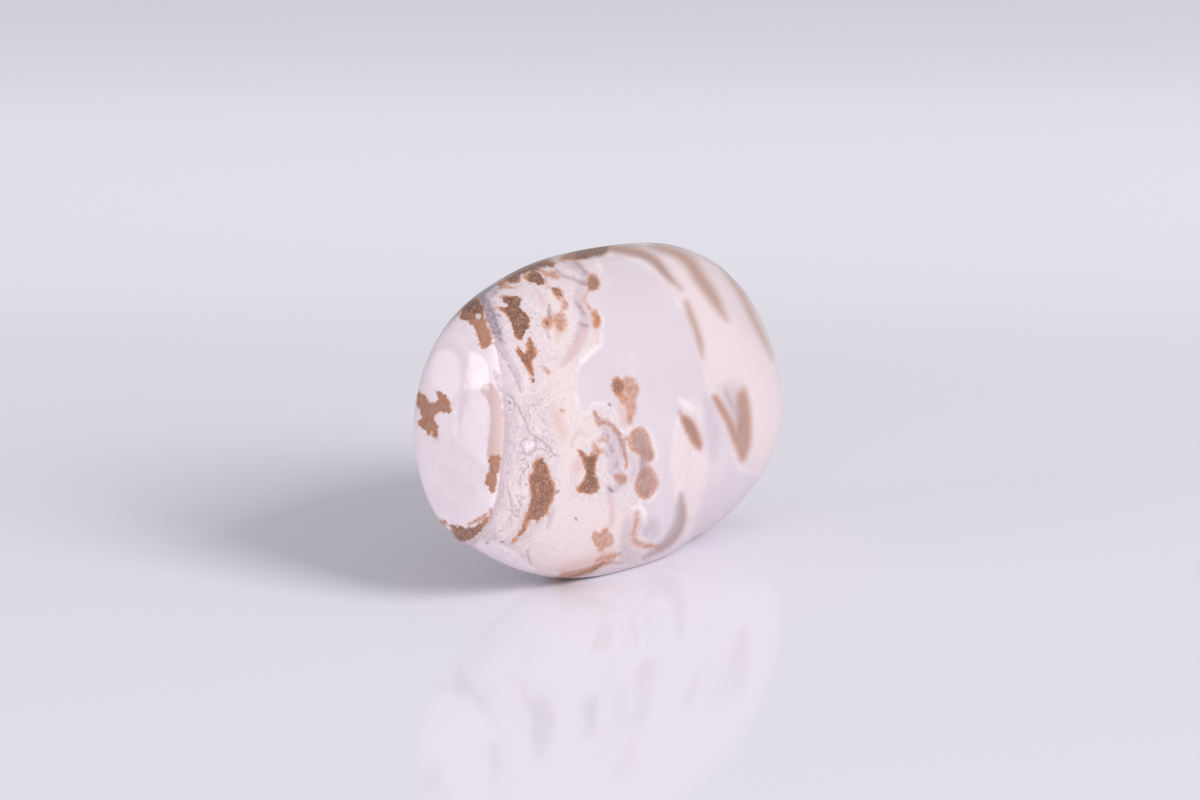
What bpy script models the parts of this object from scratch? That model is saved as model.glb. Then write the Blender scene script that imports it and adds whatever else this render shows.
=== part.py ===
"""A tumble-polished rhodochrosite pebble that stands on its long narrow edge.

+X runs along the pebble from the end with the flat polished facet to the far round end,
+Y across its thin way and +Z up. The origin is the middle of its footprint, on the surface it rests on.
"""

import bmesh
import bpy
import numpy as np
from mathutils import Matrix, Vector

MM = 0.001
DEG = np.pi / 180.0

# The body is a rounded egg about its own centre: a half length towards each side of its own axes.
FACET_END_REACH = 23.3 * MM
FAR_END_REACH = 15.6 * MM
FRONT_REACH = 5.15 * MM
BACK_REACH = 6.6 * MM
TOP_REACH = 12.2 * MM
FOOT_REACH = 10.8 * MM

# How square the egg's outline is: 2 is an ellipse, more is boxier.
FACET_END_FULLNESS = 2.29
FAR_END_FULLNESS = 2.52
SECTION_FULLNESS = 1.92
HEEL_FULLNESS = 2.5

# The polished facet that takes off one end: a very wide crowned face with a rounded rim.
FACET_DISTANCE = 18.1 * MM
FACET_CROWN_RADIUS = 55.0 * MM
FACET_TURN = -10.9 * DEG
FACET_TIP_UP = 12.6 * DEG
RIM_SHARPNESS = 30.0
FACET_MIDDLE_RISE = 4.6 * DEG

# Gentle swells and hollows that tumbling left: a direction from the centre of the egg,
# the height there as a share of the reach, and how far it spreads, in radians.
SWELLS = [
    ((0.54, -0.16, -0.83), -0.108, 0.416),
    ((0.87, -0.10, -0.49), -0.057, 0.271),
    ((-0.92, 0.12, -0.36), -0.045, 0.30),
    ((-0.98, 0.21, 0.04), -0.004, 0.35),
    ((0.85, -0.14, 0.51), -0.012, 0.40),
    ((-0.85, 0.10, 0.52), -0.021, 0.30),
    ((-0.60, 0.00, -0.80), 0.016, 0.30),
    ((0.45, 0.85, 0.25), 0.025, 0.45),
    ((-0.45, 0.85, -0.20), -0.020, 0.40),
]

# How the pebble stands: its facet end is lifted, its top leans back, its foot is ground flat.
LIFT = 5.2 * DEG
ROLL = -5.2 * DEG
LEAN = 0.084
FOOT_GRIND = 0.61 * MM
FOOT_SNAP = 0.04 * MM

# The net of faces: rings round the facet, then rings down the body to the far end.
SEGMENTS = 80
FACET_RINGS = 11
BODY_RINGS = 38
RIM_CROWDING = 1.7
BODY_CROWDING = 1.2
ROUTE_SAMPLES = 400

# Small enough to count as nothing: a share of the reach, and a gap in metres.
NO_SHARE = 1e-12
NO_GAP = 1e-7

STONE_COLOUR = (0.72, 0.62, 0.66, 1.0)
STONE_ROUGHNESS = 0.22


def clear_scene():
    for thing in list(bpy.data.objects):
        bpy.data.objects.remove(thing, do_unlink=True)


def facet_normal():
    turn = np.cos(FACET_TIP_UP)
    return np.array(
        [-np.cos(FACET_TURN) * turn, np.sin(FACET_TURN) * turn, np.sin(FACET_TIP_UP)]
    )


def facet_middle_way():
    """Direction from the centre of the egg to the middle of the facet."""
    return np.array([-np.cos(FACET_MIDDLE_RISE), 0.0, np.sin(FACET_MIDDLE_RISE)])


def body_reach(ways):
    """Distance from the centre to the egg, along each unit direction."""
    x, y, z = ways.T
    length = np.where(x > 0, FAR_END_REACH, FACET_END_REACH)
    fullness = np.where(x > 0, FAR_END_FULLNESS, FACET_END_FULLNESS)
    width = np.where(y < 0, FRONT_REACH, BACK_REACH)
    height = np.where(z > 0, TOP_REACH, FOOT_REACH)
    section = np.where((y > 0) & (z < 0), HEEL_FULLNESS, SECTION_FULLNESS)
    across = (np.abs(y) / width) ** section + (np.abs(z) / height) ** section
    across = np.maximum(across, NO_SHARE) ** (fullness / section)
    return ((np.abs(x) / length) ** fullness + across) ** (-1.0 / fullness)


def crown_reach(ways):
    """Distance from the centre to the facet's crowned face, along each unit direction."""
    centre = facet_normal() * (FACET_DISTANCE - FACET_CROWN_RADIUS)
    along = ways @ centre
    inside = FACET_CROWN_RADIUS**2 - centre @ centre
    return along + np.sqrt(along**2 + inside)


def unevenness(ways):
    """What the swells and hollows multiply the reach by, along each unit direction."""
    factor = np.ones(len(ways))
    for towards, height, spread in SWELLS:
        axis = np.array(towards) / np.linalg.norm(towards)
        away = np.arccos(np.clip(ways @ axis, -1.0, 1.0))
        factor += height * np.exp(-((away / spread) ** 2))
    return factor


def stone_reach(ways):
    """The nearer of egg and facet, with the rim between them rounded over and the swells added."""
    egg = body_reach(ways) ** -RIM_SHARPNESS
    crown = crown_reach(ways) ** -RIM_SHARPNESS
    return unevenness(ways) * (egg + crown) ** (-1.0 / RIM_SHARPNESS)


def shares(count, crowding, towards_start):
    """Shares of a route from just after 0 to 1, crowded towards one of its ends."""
    steps = np.arange(1, count + 1) / count
    if towards_start:
        return steps**crowding
    return 1.0 - (1.0 - steps) ** crowding


def ring_places(spoke):
    """Points down one route over the surface, from the facet's middle across its rim to the far end."""
    angles = np.linspace(0.0, np.pi, ROUTE_SAMPLES)
    ways = np.outer(np.cos(angles), facet_middle_way()) + np.outer(np.sin(angles), spoke)
    route = ways * stone_reach(ways)[:, None]
    steps = np.linalg.norm(np.diff(route, axis=0), axis=1)
    travelled = np.concatenate([[0.0], np.cumsum(steps)])
    past_rim = crown_reach(ways) > body_reach(ways)
    rim = travelled[np.argmax(past_rim)]
    on_facet = rim * shares(FACET_RINGS, RIM_CROWDING, False)
    down_body = rim + (travelled[-1] - rim) * shares(BODY_RINGS, BODY_CROWDING, True)
    stops = np.concatenate([on_facet, down_body[:-1]])
    return np.stack([np.interp(stops, travelled, route[:, i]) for i in range(3)], axis=1)


def stone_points():
    """Rings of points round the pebble, as an array of ring, segment and coordinate."""
    middle = facet_middle_way()
    side = np.cross([0.0, 0.0, 1.0], middle)
    side /= np.linalg.norm(side)
    up = np.cross(middle, side)
    turns = np.linspace(0.0, 2.0 * np.pi, SEGMENTS, endpoint=False)
    routes = [ring_places(np.cos(t) * side + np.sin(t) * up) for t in turns]
    return np.stack(routes, axis=1)


def lean_back(points):
    leaned = points.copy()
    leaned[..., 1] += LEAN * points[..., 2]
    return leaned


def make_stone_mesh():
    rings = lean_back(stone_points())
    ends = [facet_middle_way(), -facet_middle_way()]
    poles = [lean_back(way * stone_reach(way[None, :])[0]) for way in ends]
    bm = bmesh.new()
    verts = [[bm.verts.new(Vector(point)) for point in ring] for ring in rings]
    facet_middle, far_tip = [bm.verts.new(Vector(pole)) for pole in poles]
    for i in range(SEGMENTS):
        j = (i + 1) % SEGMENTS
        bm.faces.new([facet_middle, verts[0][i], verts[0][j]])
        bm.faces.new([far_tip, verts[-1][j], verts[-1][i]])
        for upper, lower in zip(verts, verts[1:]):
            bm.faces.new([upper[i], lower[i], lower[j], upper[j]])
    return bm


def stand_up(bm):
    """Tips the pebble as it stands, grinds its foot flat and puts the middle of its footprint at the origin."""
    tip = Matrix.Rotation(LIFT, 4, "Y") @ Matrix.Rotation(ROLL, 4, "X")
    bmesh.ops.transform(bm, matrix=tip, verts=bm.verts)
    foot = min(v.co.z for v in bm.verts) + FOOT_GRIND
    for v in bm.verts:
        if abs(v.co.z - foot) < FOOT_SNAP:
            v.co.z = foot
    whole = bm.verts[:] + bm.edges[:] + bm.faces[:]
    bmesh.ops.bisect_plane(
        bm, geom=whole, dist=NO_GAP, plane_co=(0, 0, foot), plane_no=(0, 0, 1), clear_inner=True
    )
    rim = [e for e in bm.edges if e.is_boundary]
    bmesh.ops.contextual_create(bm, geom=rim)
    xs = [v.co.x for v in bm.verts]
    ys = [v.co.y for v in bm.verts]
    middle = Vector(((min(xs) + max(xs)) / 2, (min(ys) + max(ys)) / 2, foot))
    bmesh.ops.translate(bm, vec=-middle, verts=bm.verts)
    bmesh.ops.recalc_face_normals(bm, faces=bm.faces)


def stone_material():
    material = bpy.data.materials.new("polished_rhodochrosite")
    material.use_nodes = True
    shader = material.node_tree.nodes["Principled BSDF"]
    shader.inputs["Base Color"].default_value = STONE_COLOUR
    shader.inputs["Roughness"].default_value = STONE_ROUGHNESS
    shader.inputs["Metallic"].default_value = 0.0
    return material


def make_stone():
    bm = make_stone_mesh()
    stand_up(bm)
    mesh = bpy.data.meshes.new("stone")
    bm.to_mesh(mesh)
    bm.free()
    mesh.shade_smooth()
    mesh.materials.append(stone_material())
    stone = bpy.data.objects.new("stone", mesh)
    bpy.context.scene.collection.objects.link(stone)
    return stone


clear_scene()
make_stone()
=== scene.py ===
"""Dresses the tumbled rhodochrosite pebble in its polished skin and sets it on a pale table.

The skin follows the solid. It carries each marking as a depth in millimetres inside it, and the stone's
finish turns those depths into layers, threads and patches with noise along their edges.
"""

import math

import bmesh
import bpy
import numpy as np
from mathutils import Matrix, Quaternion, Vector
from mathutils.bvhtree import BVHTree
from mathutils.kdtree import KDTree


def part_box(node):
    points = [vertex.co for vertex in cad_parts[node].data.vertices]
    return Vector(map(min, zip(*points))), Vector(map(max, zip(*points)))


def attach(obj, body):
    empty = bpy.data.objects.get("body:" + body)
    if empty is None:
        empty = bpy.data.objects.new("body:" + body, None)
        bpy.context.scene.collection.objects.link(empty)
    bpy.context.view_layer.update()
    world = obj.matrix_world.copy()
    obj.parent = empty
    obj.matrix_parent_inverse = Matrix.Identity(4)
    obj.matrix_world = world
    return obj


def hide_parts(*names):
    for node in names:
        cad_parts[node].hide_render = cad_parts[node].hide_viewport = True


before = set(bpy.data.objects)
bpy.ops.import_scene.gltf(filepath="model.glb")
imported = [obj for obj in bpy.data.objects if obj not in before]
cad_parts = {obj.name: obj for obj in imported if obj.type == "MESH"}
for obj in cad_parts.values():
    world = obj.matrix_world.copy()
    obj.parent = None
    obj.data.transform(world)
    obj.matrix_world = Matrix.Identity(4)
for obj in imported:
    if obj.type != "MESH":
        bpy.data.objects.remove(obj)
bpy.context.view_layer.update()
stone_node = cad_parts["stone"]

MM = 0.001

# ---- Where the pebble is looked at from, in millimetres; its near side is marked in this frame ----
SIGHT_WIDTH, SIGHT_HEIGHT = 1200, 800
LENS, SENSOR = 140.0, 36.0
CAMERA_PLACE = np.array((-244.49, -206.29, 93.47))
CAMERA_TURN, CAMERA_DROP = math.radians(49.75), math.radians(14.4)
SIGHT_FOCAL = LENS / SENSOR * SIGHT_WIDTH
SIGHT_SCALE = 14.1  # sight units to a millimetre at the pebble

FORWARD = np.array((math.sin(CAMERA_TURN) * math.cos(CAMERA_DROP),
                    math.cos(CAMERA_TURN) * math.cos(CAMERA_DROP), -math.sin(CAMERA_DROP)))
RIGHT = np.array((math.cos(CAMERA_TURN), -math.sin(CAMERA_TURN), 0.0))
UP = np.cross(RIGHT, FORWARD)

# ---- Markings on the near side, in sight units: outlines, or (middle line, half widths) for threads ----
# Brown patches
BROWN = {
    "facet cross": [(418, 394), (422, 393), (426, 395), (428, 401), (433, 403), (439, 400), (436, 392),
                    (440, 392), (445, 396), (449, 402), (451, 409), (448, 413), (442, 411), (436, 413),
                    (434, 419), (437, 426), (438, 434), (435, 440), (432, 432), (428, 434), (424, 429),
                    (419, 424), (422, 418), (420, 412), (417, 404)],
    "facet shoulder": [(459, 318), (462, 309), (468, 302), (476, 299), (481, 304), (484, 315), (488, 328),
                       (492, 340), (489, 345), (485, 348), (481, 345), (478, 337), (474, 327), (467, 321)],
    "facet sill": [(450, 525), (458, 527), (466, 528), (474, 526), (480, 523), (486, 518), (491, 513),
                   (489, 521), (483, 528), (477, 535), (470, 540), (460, 541), (453, 534)],
    "facet sill chip": [(440, 520), (444, 521), (448, 525), (443, 525)],
    "facet cheek": [(489, 457), (494, 456), (499, 456), (500, 463), (498, 472), (496, 482), (495, 490),
                    (492, 494), (489, 490), (489, 486), (485, 484), (487, 476), (489, 469)],
    "crown rag": [(495, 293), (501, 295), (508, 297), (513, 295), (519, 296), (521, 301), (520, 306),
                  (523, 312), (528, 314), (530, 322), (527, 330), (523, 335), (521, 340), (516, 338),
                  (514, 330), (511, 322), (506, 314), (499, 310), (495, 307), (501, 307), (506, 308),
                  (508, 304), (503, 300)],
    "crown tail": [(528, 338), (533, 341), (536, 350), (536, 356), (532, 361), (533, 370), (535, 379),
                   (532, 382), (530, 374), (525, 366), (520, 358), (517, 350), (518, 345), (522, 350),
                   (525, 353), (527, 347)],
    "crest": ([(499, 284), (510, 277), (522, 270), (533, 265), (544, 262), (553, 264)],
              (2.0, 3.4, 4.2, 4.6, 4.6, 2.6)),
    "crest spot": [(510, 277), (518, 277), (519, 282), (514, 284), (510, 282)],
    "crest crumb": [(526, 278), (530, 272), (537, 271), (541, 275), (544, 282), (541, 285), (536, 282),
                    (531, 284)],
    "crown spot core": [(544, 321), (548, 319), (550, 324), (547, 327)],
    "crown bead": [(550, 288), (556, 287), (561, 291), (564, 297), (559, 297), (554, 293)],
    "ridge bar": [(560, 259), (570, 252), (582, 248), (596, 245), (609, 244), (609, 250), (603, 255),
                  (592, 257), (577, 260)],
    "scallop knob": [(588, 290), (587, 281), (591, 274), (597, 277), (600, 283), (598, 288), (593, 291)],
    "scallop heel": [(595, 312), (598, 315), (600, 321), (598, 326), (595, 323)],
    "heart": [(612, 382), (617, 377), (621, 380), (625, 386), (622, 394), (618, 397), (613, 390)],
    "bone": [(578, 450), (582, 450), (587, 456), (592, 454), (597, 455), (597, 462), (595, 469), (596, 477),
             (599, 484), (597, 492), (590, 494), (580, 493), (577, 487), (583, 481), (586, 475), (584, 466),
             (581, 457)],
    "flank leaf": [(534, 462), (541, 457), (546, 463), (549, 471), (552, 480), (555, 489), (553, 498),
                   (550, 506), (547, 514), (540, 519), (537, 525), (535, 520), (529, 521), (525, 531),
                   (520, 537), (511, 544), (517, 535), (523, 524), (526, 514), (530, 505), (530, 490),
                   (529, 478), (533, 469)],
    # keel: partly the stone's own brown, partly painted shade along the bottom edge where it meets the table
    "keel": ([(552, 579), (566, 577), (580, 574), (594, 569), (606, 562)], (1.2, 2.2, 2.8, 2.6, 1.4)),
    "late bud": [(682, 417), (690, 418), (697, 428), (702, 443), (699, 450), (692, 443), (686, 431)],
    "hook": [(738, 394), (743, 392), (747, 400), (749, 416), (749, 436), (747, 450), (743, 459), (738, 453),
             (734, 441), (736, 430), (739, 418), (738, 404)],
    "hook arm": ([(715, 398), (721, 408), (727, 419), (732, 430), (737, 442)], (2.2, 2.8, 2.8, 3.2, 3.2)),
}

# Where the brown is darkest
DEEP = {
    "rag": [(503, 299), (518, 298), (522, 312), (528, 320), (525, 332), (518, 336), (512, 322)],
    "crest": [(507, 278), (530, 263), (548, 264), (556, 273), (530, 270), (514, 280)],
    "crest crumb": [(530, 278), (540, 275), (545, 284), (536, 284)],
    "ridge bar": [(577, 259), (580, 246), (592, 240), (606, 242), (604, 254), (592, 259)],
    "shoulder top": [(462, 316), (470, 302), (480, 303), (482, 312), (472, 318)],
    "sill": [(455, 527), (466, 530), (480, 526), (478, 532), (468, 539), (458, 537)],
    "bone": [(588, 460), (593, 460), (592, 473), (595, 484), (590, 486), (588, 475)],
}

# Rusty threads and flecks
RUST = {
    "heart lobe": [(621, 380), (629, 377), (636, 380), (639, 388), (637, 398), (632, 404), (625, 405),
                   (620, 401)],
    "heart stem": ([(631, 402), (631, 412), (629, 422)], (5.0, 4.4, 2.6)),
    "root": ([(594, 411), (597, 418), (600, 424), (606, 421), (611, 425), (617, 432), (621, 440), (624, 450),
              (626, 460), (626, 469)], (1.6, 2.8, 2.8, 2.2, 2.2, 2.8, 2.4, 2.6, 2.6, 1.2)),
    "root spur": ([(621, 441), (629, 438)], (1.8, 2.4)),
    "elbow": ([(637, 513), (636, 524), (634, 534), (634, 542)], (2.2, 3.0, 3.2, 3.0)),
    "bead": [(614, 476), (620, 472), (627, 477), (625, 484), (618, 483)],
    "scallop heel": [(591, 311), (596, 310), (600, 316), (601, 323), (598, 328), (593, 327), (592, 319)],
    "crown veil": [(553, 315), (559, 313), (564, 318), (565, 326), (562, 332), (557, 330), (554, 322)],
    "elbow foot": ([(634, 542), (644, 545), (652, 546), (660, 547)], (3.0, 3.2, 2.8, 2.0)),
    "rust star": [(592, 538), (594, 530), (600, 533), (605, 527), (610, 532), (614, 543), (606, 548),
                  (602, 553), (596, 548)],
    "rust dash": ([(596, 561), (606, 558), (618, 555)], (2.0, 3.4, 2.6)),
    "crown spot": [(541, 323), (545, 317), (551, 316), (553, 322), (550, 329), (545, 329)],
    "scallop hem": ([(589, 291), (586, 295), (585, 301), (588, 306), (593, 311)], (0.8, 1.2, 1.2, 1.2, 1.6)),
    "crown drop": [(561, 302), (565, 300), (568, 304), (567, 310), (562, 309)],
    "crown lash": ([(561, 311), (563, 315), (565, 320), (566, 325)], (1.4, 1.6, 1.6, 1.0)),
    "crown leg": ([(547, 327), (548, 333), (550, 338)], (1.6, 1.4, 1.2)),
    "crown brow": ([(552, 316), (557, 315), (561, 316)], (1.4, 2.0, 1.4)),
    "crown arch": ([(546, 287), (551, 288), (558, 298), (564, 300)], (1.0, 1.4, 1.4, 1.6)),
    "crown base": ([(498, 288), (506, 287), (516, 288)], (0.8, 1.8, 1.0)),
    "crest hem": ([(547, 273), (553, 275), (558, 277)], (2.6, 4.0, 2.4)),
    "crest frill": ([(524, 276), (532, 271), (540, 270), (545, 275), (546, 283)], (1.6, 2.2, 2.4, 1.6, 1.4)),
    "facet rim thread": ([(480, 303), (484, 314), (488, 326), (492, 338)], (1.2, 1.4, 1.4, 1.2)),
    "sill thread": ([(470, 524), (478, 520), (486, 515), (491, 510)], (1.6, 2.2, 2.2, 1.6)),
    "bone horns": [(590, 456), (592, 450), (592, 443), (595, 441), (598, 447), (605, 449), (601, 455),
                   (596, 459)],
    "bone mote": ([(599, 441), (603, 439), (606, 440)], (1.8, 2.8, 2.0)),
    "crown mote": ([(542, 367), (549, 372)], (1.6, 2.2)),
    "belly dot": ([(561, 410), (563, 411)], 1.8),
}

# Broad soft seams that sink below the skin towards the round end
SEAMS = {
    "ridge brow": ([(604, 246), (618, 249), (632, 251), (644, 254), (655, 261), (663, 270), (671, 279),
                    (682, 289)], (4.0, 5.5, 6.0, 6.0, 6.0, 5.5, 4.2, 2.4)),
    "outer seam": ([(650, 246), (664, 249), (678, 254), (690, 263), (698, 275), (707, 288), (715, 300),
                    (721, 311), (727, 320)], (4.0, 5.5, 7.0, 8.0, 8.5, 8.5, 7.5, 5.5, 2.5)),
    "rim seam": ([(722, 268), (731, 280), (741, 294), (750, 312), (759, 330), (767, 346), (772, 360)],
                 (1.5, 3.4, 4.6, 4.8, 4.4, 3.4, 1.2)),
    "late seam": ([(686, 302), (690, 313), (695, 327), (700, 343), (702, 357)], (3.0, 4.6, 4.6, 4.6, 2.4)),
    "late twig": ([(680, 412), (684, 421), (690, 428)], (2.6, 3.4, 3.6)),
    "hook veil": ([(714, 396), (722, 408), (731, 424), (737, 440)], (2.0, 3.0, 3.6, 4.0)),
    "hook glow": ([(744, 388), (746, 404), (747, 424), (745, 444), (742, 459)], (2.6, 4.0, 5.0, 6.5, 4.0)),
    "low seam": ([(683, 506), (684, 518), (679, 532), (671, 542), (660, 550)], (1.4, 2.4, 3.4, 3.4, 2.0)),
    # keel seam: partly a real tan seam, partly painted shade along the bottom edge where it meets the table
    "keel seam": ([(560, 575), (585, 570), (606, 563), (622, 563)], (1.2, 2.0, 2.0, 1.2)),
}

# Two rusty pods with a mauve heart
POD = {
    "upper pod": [(629, 438), (630, 432), (636, 427), (644, 428), (649, 435), (652, 446), (655, 456),
                  (650, 463), (645, 461), (640, 456), (632, 452), (628, 445)],
    "lower pod": [(641, 469), (650, 466), (656, 474), (659, 484), (654, 494), (646, 500), (640, 498),
                  (634, 490), (635, 480)],
}

# Tan stains
TAN = {
    "facet cheek band": [(481, 387), (487, 383), (493, 385), (498, 393), (501, 404), (503, 420), (503, 436),
                         (500, 458), (488, 458), (488, 444), (490, 428), (490, 408), (486, 398), (481, 393)],
    "amber fleck": [(552, 406), (558, 410), (562, 420), (568, 434), (562, 440), (556, 428)],
    "crown blush": [(550, 314), (557, 313), (563, 317), (566, 326), (563, 335), (556, 339), (552, 330)],
    "heart blush": [(619, 402), (634, 402), (634, 414), (628, 426), (621, 422)],
    "scallop seam": ([(590, 290), (585, 294), (584, 300), (587, 306), (593, 311)], (0.8, 1.4, 1.4, 1.4, 1.8)),
    "scallop drip": ([(598, 334), (598, 341)], (0.8, 1.2)),
    "bone glow": [(572, 466), (580, 458), (584, 470), (578, 482)],
    "belly rust": [(560, 566), (590, 556), (612, 548), (612, 560), (590, 570), (565, 575)],
}

# Mauve veins
MAUVE = {
    "scallop runner": ([(585, 327), (581, 338), (575, 348), (569, 357), (562, 366)],
                       (4.0, 5.6, 5.2, 4.0, 1.6)),
    "facet band": ([(444, 346), (454, 347), (462, 356), (466, 372), (465, 392), (461, 410), (458, 422)],
                   (2.0, 3.4, 4.4, 4.8, 4.4, 3.4, 1.6)),
    "pod neck": ([(643, 452), (644, 462), (644, 474)], (5.6, 5.6, 6.0)),
    "chalk arc": ([(572, 446), (574, 438), (580, 432), (586, 436)], (1.4, 1.6, 1.4, 1.0)),
    "chin vein": ([(608, 492), (611, 504), (612, 520), (607, 530)], (2.0, 2.6, 2.4, 1.4)),
    "crown fret": ([(536, 290), (541, 298), (543, 306)], (1.2, 1.6, 1.0)),
}

# Lavender grey shades
GREY = {
    "scallop band": ([(552, 258), (566, 261), (578, 269), (586, 278), (581, 286), (577, 295), (580, 305),
                      (583, 316), (581, 328), (577, 336)],
                     (3.5, 4.6, 4.6, 4.0, 3.2, 2.8, 3.2, 3.6, 3.6, 2.0)),
    "ridge veil": [(475, 300), (488, 288), (502, 279), (516, 271), (520, 276), (510, 284), (500, 289),
                   (492, 298), (484, 303)],
    "cheek wedge": ([(494, 371), (498, 379), (501, 390), (503, 402), (505, 416), (506, 432), (505, 448),
                     (502, 464)], (1.6, 3.0, 3.2, 2.8, 2.6, 2.6, 2.6, 2.6)),
    "selvage foot": ([(502, 464), (501, 480), (500, 494), (496, 508), (489, 522), (480, 536), (470, 542)],
                     (1.6, 1.8, 2.0, 1.8, 1.4, 1.0, 0.6)),
    "rim ribbon": ([(498, 342), (505, 352), (512, 364), (518, 377), (522, 390)], (2.4, 2.8, 2.6, 2.4, 1.6)),
    "crown eye": [(575, 293), (580, 298), (584, 309), (580, 312), (574, 302)],
    "root bay": [(607, 431), (614, 434), (620, 446), (619, 460), (611, 460), (606, 446)],
    "pod bay": ([(631, 456), (634, 464), (633, 474), (630, 482)], (1.6, 2.6, 2.4, 1.2)),
    "elbow bay": [(622, 524), (630, 518), (632, 530), (630, 546), (640, 554), (632, 562), (620, 560),
                  (621, 542)],
    "low bay": [(641, 520), (654, 517), (660, 530), (652, 538), (641, 534)],
    "hook bay": [(720, 386), (734, 382), (742, 396), (739, 414), (732, 422), (723, 406)],
    "keel shade": ([(514, 560), (522, 556), (528, 558)], (1.6, 2.6, 1.6)),
    "flank rib": ([(554, 508), (551, 518), (547, 528)], (1.6, 2.2, 1.2)),
    "scallop cheek": ([(583, 290), (580, 298), (582, 308), (587, 318), (586, 328)],
                      (2.0, 3.0, 3.4, 3.0, 2.0)),
    "root mottle": ([(604, 428), (612, 440), (616, 455), (614, 468), (622, 482), (612, 492)],
                    (3.0, 6.0, 8.0, 6.0, 5.0, 3.0)),
    "late drift": [(704, 396), (712, 404), (720, 430), (716, 460), (708, 448), (705, 420)],
}

# The broad lilac layer; outside it lies the chalky one
LILAC_LAYER = {
    "heart": [(600, 258), (603, 268), (603, 284), (596, 292), (588, 296), (589, 303), (597, 308), (603, 316),
              (604, 328), (600, 345), (591, 353), (584, 361), (579, 371), (577, 386), (580, 402), (583, 411),
              (588, 410), (592, 403), (600, 402), (610, 404), (618, 414), (622, 428), (638, 424), (652, 432),
              (658, 452), (662, 470), (661, 488), (652, 501), (641, 503), (645, 512), (643, 530), (650, 541),
              (664, 543), (672, 530), (677, 510), (674, 490), (671, 466), (673, 440), (678, 414), (688, 400),
              (700, 404), (706, 440), (706, 480), (694, 520), (690, 560), (740, 540), (762, 480), (738, 470),
              (728, 440), (722, 420), (710, 396), (702, 370), (694, 340), (686, 318), (678, 306), (668, 290),
              (652, 272), (636, 262), (618, 257)],
}

# Cream drifts in the chalky layer
CREAM = {
    "belly": [(545, 372), (560, 362), (577, 366), (574, 384), (578, 410), (590, 420), (600, 436), (580, 450),
              (572, 470), (566, 500), (600, 500), (628, 516), (622, 556), (590, 570), (540, 574), (508, 562),
              (500, 548), (520, 540), (540, 528), (556, 500), (560, 460), (548, 420)],
    "scallop": [(548, 286), (560, 290), (570, 300), (573, 318), (570, 340), (556, 356), (548, 330)],
    "scallop fringe": [(602, 334), (603, 342), (592, 354), (582, 368), (577, 362), (588, 345), (596, 334)],
    "low chalk": [(503, 480), (518, 478), (524, 500), (520, 530), (505, 540), (496, 520)],
    # low foot: partly the chalk's own cream, partly painted light that lifts the down-facing foot
    "low foot": [(478, 543), (496, 544), (512, 552), (530, 552), (542, 574), (520, 572), (500, 562),
                 (486, 554)],
    "facet foot": [(478, 498), (492, 494), (494, 505), (480, 518), (462, 523), (455, 520)],
}

# Pink ribbons that cross the lilac towards the round end
RIBBONS = {
    "facet oval": [(433, 360), (441, 351), (452, 352), (459, 360), (460, 378), (457, 394), (448, 400),
                   (438, 392), (431, 376)],
    "late": [(664, 250), (690, 268), (712, 300), (740, 330), (770, 360), (784, 400), (778, 440), (757, 476),
             (752, 420), (740, 380), (718, 386), (705, 350), (694, 310), (676, 280)],
    "late ribbon": [(673, 434), (682, 430), (687, 440), (688, 460), (686, 486), (680, 500), (674, 480)],
    "second ribbon": [(690, 452), (702, 450), (706, 470), (702, 492), (692, 516), (688, 500), (690, 476)],
}

# White veins and inclusions, and one white wash of painted light over the down-facing foot
PALE = {
    "facet inclusion": [(429, 392), (433, 389), (436, 392), (438, 400), (434, 403), (429, 401)],
    "shoulder inclusion": [(475, 318), (475, 314), (479, 313), (482, 316), (479, 320)],
    "crown pupil": ([(551, 329), (552, 336)], (1.7, 2.0)),
    "loop heart": [(525, 442), (529, 441), (533, 443), (533, 447), (530, 450), (526, 448)],
    "bone notch": [(578, 472), (582, 470), (583, 479), (579, 483), (576, 478)],
    "late bloom": ([(680, 400), (687, 405), (693, 409)], (2.0, 3.4, 2.0)),
    "elbow lace": ([(632, 508), (640, 507), (645, 514), (645, 524)], (1.6, 2.0, 2.0, 1.4)),
    # Painted light: a white wash that lifts the down-facing foot, which the lamps leave dim
    "foot painted light": ([(482, 545), (498, 553), (514, 561), (532, 570)], (5.0, 9.0, 8.0, 4.0)),
    "scallop lace": ([(602, 332), (600, 345), (590, 354), (582, 363)], (1.4, 2.0, 2.0, 1.4)),
}

# Purple shadows beside the facet and under the crest
PURPLE = {
    "selvage": ([(482, 300), (488, 308), (492, 320), (497, 332), (501, 341)], (4.5, 5.0, 5.0, 4.5, 2.0)),
    "crest shade": ([(466, 303), (478, 294), (490, 285), (504, 276), (518, 268), (534, 260), (550, 255)],
                    (2.4, 3.4, 4.2, 4.4, 4.2, 3.6, 2.2)),
}

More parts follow.
